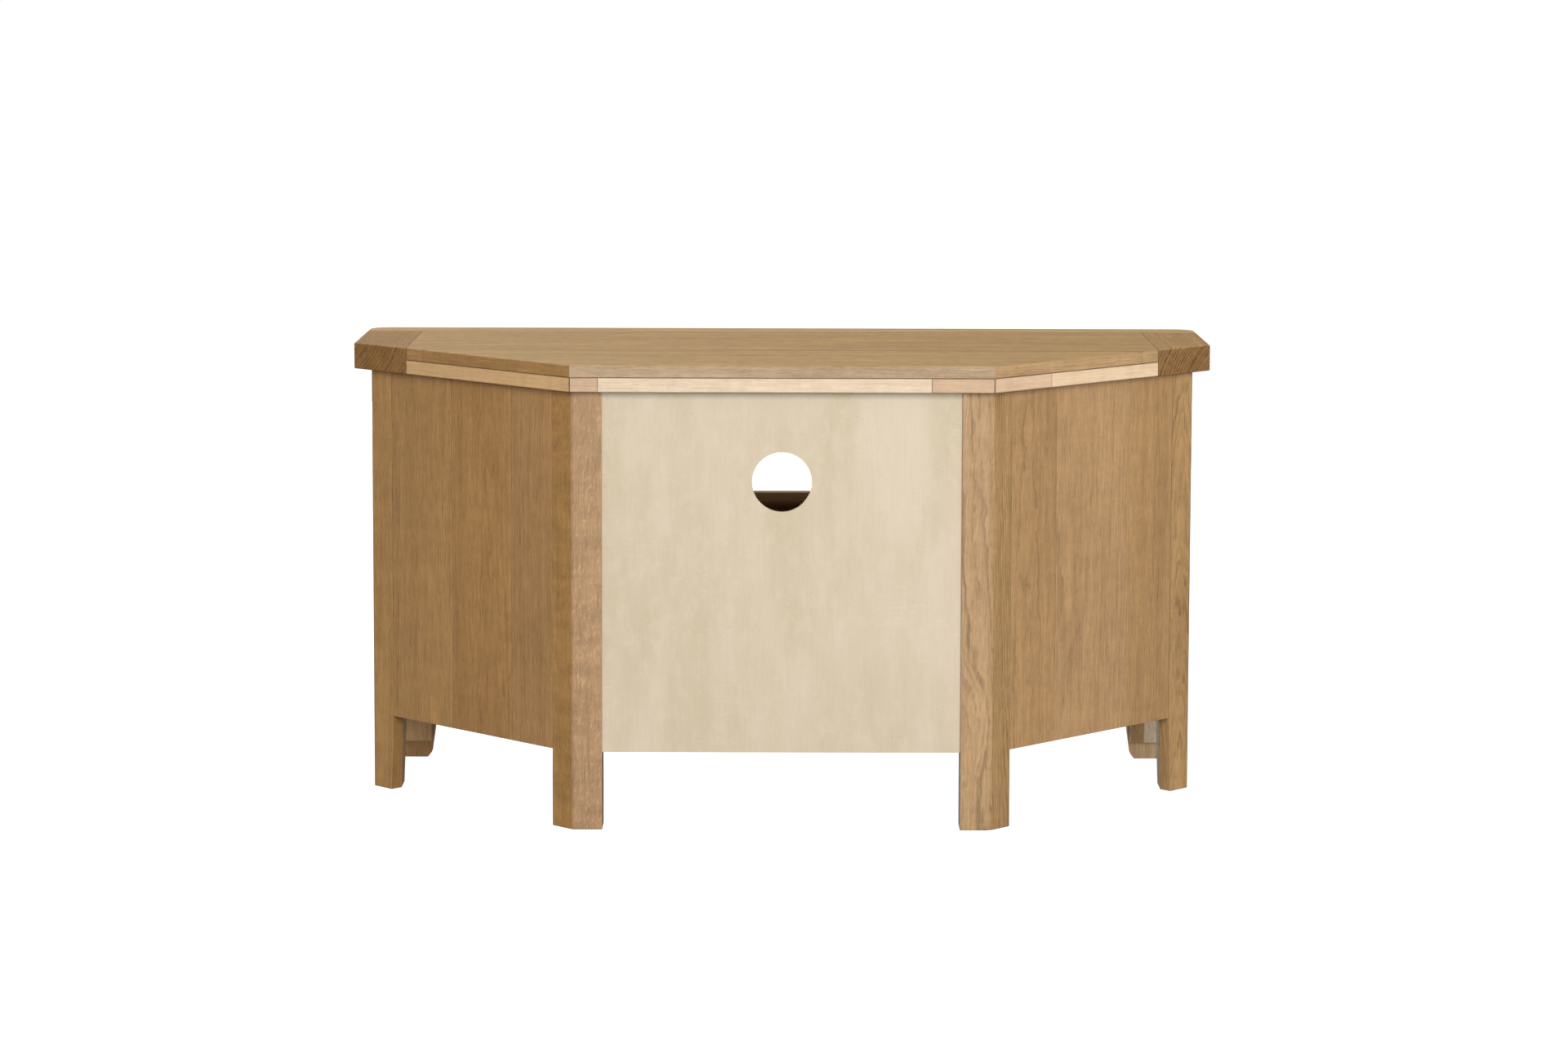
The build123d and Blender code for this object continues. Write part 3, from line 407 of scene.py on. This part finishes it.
give("left_side_panel", oak(
    "left_side_panel", (0.33, 0.195, 0.080), (-0.39, -0.05, 0.3), 17.3))

# ---- Front and rear rails: oak, tenoned between the legs ----
# The grain runs across the cabinet. The rear top rail lies behind the plywood.
for rail, pith, seed in (
    ("front_bottom_rail", (0, -0.30, 0.09), 18.2),
    ("front_shelf_rail", (0, -0.15, 0.40), 19.4),
    ("front_top_rail", (0, -0.33, 0.47), 20.9),
    ("rear_top_rail", (0, 0.33, 0.45), 22.3),
):
    give(rail, oak(rail, (0.35, 0.205, 0.082), pith, seed, grain=(1, 0, 0), lean=(0.4, 0.3)))

# ---- Shelf, bottom and cleats: glued oak boards left dull inside, on screwed softwood cleats ----
# Both boards run the full width inside. The shelf shows at the cable hole and in the open bay.
# The shelf's near-black brown is painted shade, the dark inside of the cabinet.
give("shelf", oak(
    "shelf", (0.11, 0.056, 0.026), (0, 0.02, 0.20), 23.3, grain=(1, 0, 0), lean=(0.5, 0.2),
    ring_width=0.003, wander=0.012, gloss=0.0))
give("bottom_panel", oak(
    "bottom_panel", (0.28, 0.16, 0.065), (0, 0.05, 0.00), 25.1, grain=(1, 0, 0), lean=(-0.4, 0.5),
    ring_width=0.003, wander=0.012, gloss=0.1))
for cleats, pith, seed in (
    ("support_cleats", (0, 0.1, 0.3), 26.2),
    ("top_cleats", (0, 0.1, 0.6), 27.5),
    ("panel_dowels", (0, 0.1, 0.2), 28.1),
):
    give(cleats, oak(cleats, (0.56, 0.38, 0.20), pith, seed, grain=(1, 0, 0), ring_width=0.0035, pores=0.1,
                     rays=0.0))

# ---- Back panel: thin pale plywood let into grooves in the rear legs, with a sawn cable hole ----
# Its rotary-cut face has broad upright clouds and fine ripples, and its plies show at the hole's rim.
PLY = 0.0015
PLY_START = 0.2278


def plywood():
    """Pale plywood, with the edges of its plies wherever it is sawn through."""
    material, tree, shader = blank_material("plywood_back")
    where = node(tree, "ShaderNodeTexCoord").outputs["Object"]
    cloud = noise(tree, across(tree, "MULTIPLY", where, (1, 1, 0.24)), 15.0, 4.0, 0.6)
    blotch = noise(tree, across(tree, "MULTIPLY", where, (1, 1, 0.6)), 70.0, 3.0, 0.6)
    fibre = noise(tree, across(tree, "MULTIPLY", where, (1, 1, 0.02)), 900.0, 2.0, 0.6)
    shade = step(tree, cloud.outputs[0], 0.32, 0.7)
    face = tint(tree, shade, (0.515, 0.432, 0.322, 1), (0.452, 0.374, 0.258, 1))
    lighter = maths(tree, "MULTIPLY", step(tree, blotch.outputs[0], 0.45, 0.7), 0.35)
    face = tint(tree, lighter, face, (0.540, 0.460, 0.350, 1))
    # Fine ripples stand across the grain where the knife chattered, and a few pores are dark.
    ripple_path = across(tree, "ADD", where, across(tree, "MULTIPLY", cloud.outputs["Color"], (0, 0, 0.03)))
    ripple = noise(tree, across(tree, "MULTIPLY", ripple_path, (0.3, 1, 1)), 260.0, 2.0, 0.55)
    patch = step(tree, noise(tree, where, 9.0, 2.0).outputs[0], 0.45, 0.62)
    fleck = maths(tree, "MULTIPLY", step(tree, ripple.outputs[0], 0.58, 0.7), patch)
    fleck = maths(tree, "MULTIPLY", fleck, 0.18)
    face = tint(tree, fleck, face, (0.60, 0.53, 0.42, 1))
    line = maths(tree, "MULTIPLY", step(tree, fibre.outputs[0], 0.5, 0.7), 0.13)
    face = tint(tree, line, face, (0.38, 0.29, 0.18, 1))
    speck = noise(tree, where, 420.0, 0.0)
    dark_spot = maths(tree, "MULTIPLY", step(tree, speck.outputs[0], 0.80, 0.86), 0.5)
    face = tint(tree, dark_spot, face, (0.22, 0.14, 0.07, 1))
    depth = node(tree, "ShaderNodeSeparateXYZ", (where,)).outputs[1]
    plies = maths(tree, "PINGPONG", maths(tree, "SUBTRACT", depth, PLY_START), PLY)
    glue = step(tree, plies, 0.0011, 0.0014)
    facing = node(tree, "ShaderNodeSeparateXYZ", (node(tree, "ShaderNodeTexCoord").outputs["Normal"],))
    sawn = step(tree, maths(tree, "ABSOLUTE", facing.outputs[1]), 0.8, 0.3)
    rim = tint(tree, glue, (0.40, 0.28, 0.16, 1), (0.12, 0.07, 0.035, 1))
    colour = tint(tree, sawn, face, rim)
    edge = node(tree, "ShaderNodeGroup", (colour, 0.0006, 0.15, 0.45), node_tree=edge_highlight_and_shade)
    relief = node(tree, "ShaderNodeBump")
    relief.inputs["Strength"].default_value = 0.35
    relief.inputs["Distance"].default_value = 0.0003
    feed(tree, relief.inputs["Height"], maths(tree, "ADD", fibre.outputs[0], ripple.outputs[0]))
    feed(tree, relief.inputs["Normal"], edge.outputs["Normal"])
    feed(tree, shader.inputs["Base Color"], edge.outputs["Colour"])
    feed(tree, shader.inputs["Roughness"], maths(tree, "MULTIPLY_ADD", cloud.outputs[0], 0.15, 0.5))
    feed(tree, shader.inputs["Normal"], relief.outputs[0])
    shader.inputs["Specular IOR Level"].default_value = 0.3
    return material


give("back_panel", plywood())

# ---- Top: oak boards with two end boards whose grain runs from front to back ----
# Strips glued below thicken its rear and angled edges. They are offcuts, some pink and some cream.
END_JOINT = 0.455
CORNER = 0.247
FRONT_SEAM = (1, -0.1905, 0.004, 0.4)
MIDDLE_SEAM = (1, 0.0605, 0.0045, 0.5)
STRIP_SEAM = (2, 0.535, 0.0011, 0.6)
# The top boards' angled edges are painted darker on the right and paler and cooler on the left: painted shade
# and painted light.
RIGHT_CHAMFER_SHADED = ((1, 1, 0), (0.33, 0.182, 0.067), (1, -1, 0))
LEFT_CHAMFER_LIT = ((-1, 1, 0), (0.392, 0.25, 0.124), (1, 1, 0))
give("top_front_board", oak(
    "top_front_board", (0.42, 0.268, 0.103), (0, -0.20, 0.30), 29.3, grain=(1, 0, 0), lean=(0.3, 0.2),
    ring_width=0.0035, wander=0.012, rings=0.2, gloss=0.12, seams=(FRONT_SEAM,)))
give("top_middle_board", oak(
    "top_middle_board", (0.36, 0.215, 0.090), (0, -0.05, 0.20), 31.2, grain=(1, 0, 0), lean=(0.3, 0.2),
    faces=(((0, 0, 1), (0.366, 0.219, 0.075)), RIGHT_CHAMFER_SHADED, LEFT_CHAMFER_LIT),
    ring_width=0.0035, wander=0.02, end_grain=0.0, clouds=0.3, rings=0.15, streaks=0.35, gloss=0.12,
    seams=(MIDDLE_SEAM, (0, END_JOINT, 0.001, 0.6), (0, -END_JOINT, 0.001, 0.6), STRIP_SEAM)))
give("top_rear_board", oak(
    "top_rear_board", (0.37, 0.225, 0.098), (0, 0.16, 0.20), 33.7, grain=(1, 0, 0), lean=(-0.3, 0.2),
    faces=(((0, 0, 1), (0.385, 0.235, 0.083)), ((0, 1, 0), (0.34, 0.242, 0.150)),
           RIGHT_CHAMFER_SHADED, LEFT_CHAMFER_LIT),
    ring_width=0.0035, wander=0.02, end_grain=0.0, clouds=0.3, rings=0.15, streaks=0.35, gloss=0.12,
    seams=(MIDDLE_SEAM, STRIP_SEAM)))
give("top_right_end_board", oak(
    "top_right_end_board", (0.37, 0.192, 0.065), (0.586, -0.08, 0.589), 34.1, grain=(0, 1, 0),
    lean=(0.3, 0.4), faces=(((0, 0, 1), (0.285, 0.150, 0.040)),), ring_width=0.0034, wander=0.008,
    end_grain=0.75, gloss=0.12, seams=((0, END_JOINT, 0.001, 0.5),)))
give("top_left_end_board", oak(
    "top_left_end_board", (0.41, 0.222, 0.084), (-0.577, -0.08, 0.484), 35.7, grain=(0, 1, 0),
    lean=(0.3, -0.4), faces=(((0, 0, 1), (0.35, 0.203, 0.065)),), ring_width=0.0034, wander=0.008,
    end_grain=0.95, rings=0.7, gloss=0.12, seams=((0, -END_JOINT, 0.001, 0.5),)))
for strip, colour, pith, seed, grain, depth, mitres in (
    ("rear_strip_middle", (0.51, 0.405, 0.288), (0, 0.14, 0.44), 36.2, (1, 0, 0), 0.8, ()),
    ("rear_strip_ends", (0.41, 0.282, 0.178), (0, 0.16, 0.60), 37.6, (1, 0, 0), 0.75, (CORNER, -CORNER)),
    ("right_strip", (0.54, 0.34, 0.163), (0.26, 0.12, 0.45), 38.4, (1, -1, 0), 0.7, (CORNER,)),
    ("left_strip_rear", (0.53, 0.38, 0.25), (-0.26, 0.13, 0.62), 39.7, (1, 1, 0), 0.75, (-CORNER,)),
    ("left_strip_front", (0.62, 0.46, 0.30), (-0.27, 0.11, 0.43), 40.9, (1, 1, 0), 0.8, ()),
):
    joints = [STRIP_SEAM] + [(0, mitre, 0.0013, 0.8) for mitre in mitres]
    give(strip, oak(strip, colour, pith, seed, grain=grain, depth=depth, fibres=0.6, pores=0.2, clouds=0.3,
                    rings=0.2, seams=joints))

# ---- Doors: framed oak doors, each a raised panel held in two stiles and two rails ----
# The stiles stand full height, the rails are tenoned between them, and the knobs are turned.
for side, sign in (("right", 1), ("left", -1)):
    for part, pith, seed, grain in (
        ("outer_stile", (sign * 0.47, -0.30, 0.2), 42.0, (0, 0, 1)),
        ("meeting_stile", (sign * 0.06, -0.29, 0.2), 43.3, (0, 0, 1)),
        ("top_rail", (0, -0.28, 0.36), 44.1, (1, 0, 0)),
        ("bottom_rail", (0, -0.30, 0.09), 45.4, (1, 0, 0)),
        ("panel", (sign * 0.20, -0.15, 0.2), 46.2, (0, 0, 1)),
        ("knob", (sign * 0.03, -0.2, 0.19), 47.1, (0, 1, 0)),
    ):
        piece = f"{side}_door_{part}"
        give(piece, oak(piece, (0.35, 0.205, 0.082), pith, seed + 5 * sign, grain=grain,
                        lean=(0.5, 0.4 * sign)))

# ---- Hinges: four brass butt hinges, each two leaves on a steel-cored pin, with brass screws ----
# The brass is plain stock, lacquered, a little dulled where it is handled.


def metal(name, colour, stain, rough, scale=300.0):
    """Brushed metal with a stain where it is dull."""
    material, tree, shader = blank_material(name)
    where = node(tree, "ShaderNodeTexCoord").outputs["Object"]
    brushed = noise(tree, across(tree, "MULTIPLY", where, (1, 1, 0.08)), scale * 8, 2.0, 0.6)
    dulled = noise(tree, where, scale, 3.0, 0.6)
    mask = step(tree, dulled.outputs[0], 0.4, 0.7)
    feed(tree, shader.inputs["Base Color"], tint(tree, mask, (*colour, 1), (*stain, 1)))
    shine = maths(tree, "MULTIPLY_ADD", mask, 0.18, rough)
    feed(tree, shader.inputs["Roughness"], maths(tree, "MULTIPLY_ADD", brushed.outputs[0], 0.12, shine))
    relief = node(tree, "ShaderNodeBump")
    relief.inputs["Strength"].default_value = 0.25
    relief.inputs["Distance"].default_value = 0.0001
    feed(tree, relief.inputs["Height"], brushed.outputs[0])
    feed(tree, shader.inputs["Normal"], relief.outputs[0])
    shader.inputs["Metallic"].default_value = 1.0
    return material


brass = metal("brass", (0.80, 0.58, 0.27), (0.52, 0.34, 0.14), 0.22)
for piece in ("frame_hinge_leaves", "frame_hinge_screws", "hinge_pins", "right_door_hinge_leaves",
              "right_door_hinge_screws", "left_door_hinge_leaves", "left_door_hinge_screws"):
    give(piece, brass)

# ---- Screws and strike plates: zinc-plated steel ----
# The screws hold the cleats and the top. The plates meet the magnetic catch.
zinc = metal("zinc_steel", (0.62, 0.63, 0.64), (0.42, 0.42, 0.43), 0.28, 420.0)
for piece in ("cleat_screws", "top_screws", "right_door_strike", "left_door_strike"):
    give(piece, zinc)

# ---- Magnetic catch: moulded brown plastic, screwed under the shelf ----
# It has a fine spark-eroded surface.
catch, catch_tree, catch_shader = blank_material("catch_plastic")
catch_place = node(catch_tree, "ShaderNodeTexCoord").outputs["Object"]
grit = noise(catch_tree, catch_place, 2600.0, 2.0)
catch_relief = node(catch_tree, "ShaderNodeBump")
catch_relief.inputs["Strength"].default_value = 0.3
catch_relief.inputs["Distance"].default_value = 0.0001
feed(catch_tree, catch_relief.inputs["Height"], grit.outputs[0])
feed(catch_tree, catch_shader.inputs["Normal"], catch_relief.outputs[0])
feed(catch_tree, catch_shader.inputs["Base Color"],
     tint(catch_tree, grit.outputs[0], (0.07, 0.04, 0.025, 1), (0.11, 0.065, 0.04, 1)))
feed(catch_tree, catch_shader.inputs["Roughness"],
     maths(catch_tree, "MULTIPLY_ADD", grit.outputs[0], 0.2, 0.35))
give("magnetic_catch", catch)

# ---- Studio: a pale floor, a white room and large soft lights ----
# The main light stands behind the cabinet and to its left, so the cabinet's right side is shaded. Two
# lights stand in front for the doors, and the low one shines in below the shelf.
bpy.context.scene.view_settings.view_transform = "Standard"
bpy.context.scene.view_settings.look = "None"
floor_mesh = bpy.data.meshes.new("floor")
shape = bmesh.new()
bmesh.ops.create_circle(shape, cap_ends=True, segments=96, radius=90.0)
shape.to_mesh(floor_mesh)
shape.free()
floor = bpy.data.objects.new("floor", floor_mesh)
bpy.context.scene.collection.objects.link(floor)
floor_paint, floor_tree, floor_shader = blank_material("floor_paint")
floor_shader.inputs["Base Color"].default_value = (0.32, 0.32, 0.32, 1)
floor_shader.inputs["Roughness"].default_value = 0.9
floor_shader.inputs["Specular IOR Level"].default_value = 0.0
floor_shader.inputs["Emission Color"].default_value = (1, 1, 1, 1)
seen = node(floor_tree, "ShaderNodeLightPath").outputs["Is Camera Ray"]
feed(floor_tree, floor_shader.inputs["Emission Strength"], maths(floor_tree, "MULTIPLY", seen, 0.97))
floor_mesh.materials.append(floor_paint)

room = bpy.data.worlds.new("room")
room.use_nodes = True
wall = room.node_tree.nodes["Background"]
wall.inputs["Color"].default_value = (1, 1, 1, 1)
direct = node(room.node_tree, "ShaderNodeLightPath").outputs["Is Camera Ray"]
feed(room.node_tree, wall.inputs["Strength"], maths(room.node_tree, "MULTIPLY_ADD", direct, 0.55, 0.45))
bpy.context.scene.world = room


def soft_light(name, place, aim, width, height, power):
    """A rectangular soft box turned towards a point."""
    data = bpy.data.lights.new(name, "AREA")
    data.shape = "RECTANGLE"
    data.size = width
    data.size_y = height
    data.energy = power
    lamp = bpy.data.objects.new(name, data)
    lamp.location = place
    lamp.rotation_euler = (Vector(aim) - Vector(place)).to_track_quat("-Z", "Y").to_euler()
    lamp.visible_camera = False
    bpy.context.scene.collection.objects.link(lamp)


soft_light("key_light", (-1.6, 6.4, 1.4), (0, 0, 0.3), 3.2, 2.0, 262.0)
soft_light("overhead_light", (-0.4, 4.2, 2.6), (0, 0, 0.4), 2.4, 1.4, 118.0)
soft_light("door_light", (1.2, -2.9, 4.0), (0, -0.25, 0.3), 2.2, 1.4, 100.0)
soft_light("low_front_light", (0.9, -4.5, 0.18), (0, -0.25, 0.2), 3.0, 0.3, 125.0)
